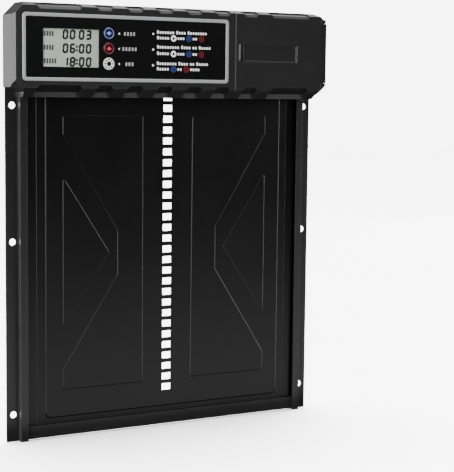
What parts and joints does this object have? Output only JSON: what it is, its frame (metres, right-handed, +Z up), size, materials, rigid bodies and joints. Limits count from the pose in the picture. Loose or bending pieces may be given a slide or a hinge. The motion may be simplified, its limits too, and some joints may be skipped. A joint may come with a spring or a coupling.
{
  "type": "automatic poultry coop door",
  "caption": "Wall-mounted coop door: a pressed metal door with a central slotted rack, lifted in side rails by a geared motor in a battery-powered timer box.",
  "frame": {"origin": "centre of the four outer mounting holes, on the wall plane at the back of the flanges", "axes": "+X right as seen from the front, +Y back into the wall, +Z up"},
  "size_m": [0.3156, 0.0309, 0.3865],
  "materials": {
    "black_steel": "satin black powder coat on pressed sheet",
    "black_plastic": "fine satin black moulding",
    "silver_plastic": "silver painted surround",
    "panel_gloss": "glossy printed overlay",
    "lcd_glass": "grey-green liquid crystal display",
    "white_plastic": "white moulding",
    "blue_plastic": "blue key cap",
    "red_plastic": "red key cap",
    "key_white": "white key cap",
    "board_green": "solder-masked board",
    "component_black": "moulded component bodies",
    "gear_nylon": "natural acetal",
    "bright_steel": "plated steel",
    "brass": "machined brass",
    "cell_wrap": "plain printed cell sleeve"
  },
  "bodies": {
    "frame": {"battery_cell_1": "cell_wrap", "battery_cell_2": "cell_wrap", "battery_cell_3": "cell_wrap", "battery_cell_4": "cell_wrap", "battery_tray": "black_plastic", "board_components": "component_black", "board_screws": "bright_steel", "bottom_sill": "black_steel", "box_screws": "bright_steel", "bracket_screws": "bright_steel", "circuit_board": "board_green", "contact_plates": "bright_steel", "contact_springs": "bright_steel", "display_bezel": "silver_plastic", "display_window": "panel_gloss", "drive_motor": "bright_steel", "frame_screws": "bright_steel", "front_housing": "black_plastic", "gear_axle": "bright_steel", "gear_bracket": "bright_steel", "hinge_pin": "bright_steel", "lcd_glass": "lcd_glass", "lcd_holder": "white_plastic", "left_rail": "black_steel", "motor_gearbox": "brass", "rear_cover": "black_plastic", "right_rail": "black_steel", "shaft_bushes": "brass", "tact_switches": "component_black"},
    "door": {"door_panel": "black_steel"},
    "drive_shaft": {"drive_pinion": "gear_nylon", "pinion_shaft": "bright_steel", "output_gear": "gear_nylon"},
    "idler": {"compound_gear": "gear_nylon"},
    "motor_rotor": {"motor_gear": "brass", "motor_shaft": "bright_steel"},
    "open_key": {"open_button": "blue_plastic"},
    "close_key": {"close_button": "red_plastic"},
    "set_key": {"set_button": "key_white"},
    "cover": {"battery_cover": "black_plastic"},
    "latch": {"cover_latch": "black_plastic"}
  },
  "joints": [
    {"name": "door_lift", "type": "slide", "parent": "frame", "child": "door", "axis": [0, 0, 1], "range_m": [0, 0.29]},
    {"name": "drive_turn", "type": "hinge", "parent": "frame", "child": "drive_shaft", "pos_m": [0, -0.01425, 0.1851], "axis": [1, 0, 0], "range_deg": [0, 1741]},
    {"name": "idler_turn", "type": "hinge", "parent": "frame", "child": "idler", "pos_m": [0, -0.0189, 0.1944], "axis": [1, 0, 0], "range_deg": [-2785, 0]},
    {"name": "motor_turn", "type": "hinge", "parent": "frame", "child": "motor_rotor", "pos_m": [0, -0.0189, 0.2044], "axis": [1, 0, 0], "range_deg": [0, 8353]},
    {"name": "open_press", "type": "slide", "parent": "frame", "child": "open_key", "axis": [0, 1, 0], "range_m": [0, 0.0006], "stiffness_N_per_m": 800},
    {"name": "close_press", "type": "slide", "parent": "frame", "child": "close_key", "axis": [0, 1, 0], "range_m": [0, 0.0006], "stiffness_N_per_m": 800},
    {"name": "set_press", "type": "slide", "parent": "frame", "child": "set_key", "axis": [0, 1, 0], "range_m": [0, 0.0006], "stiffness_N_per_m": 800},
    {"name": "cover_swing", "type": "hinge", "parent": "frame", "child": "cover", "pos_m": [0.1552, -0.0264, 0.1879], "axis": [0, 0, 1], "range_deg": [0, 100]},
    {"name": "latch_slide", "type": "slide", "parent": "cover", "child": "latch", "axis": [1, 0, 0], "range_m": [0, 0.0016], "stiffness_N_per_m": 300}
  ],
  "couplings": [
    {"joint": "drive_turn", "follows": "door_lift", "rad_per_m": 104.72},
    {"joint": "idler_turn", "follows": "door_lift", "rad_per_m": -167.55},
    {"joint": "motor_turn", "follows": "door_lift", "rad_per_m": 502.65}
  ]
}
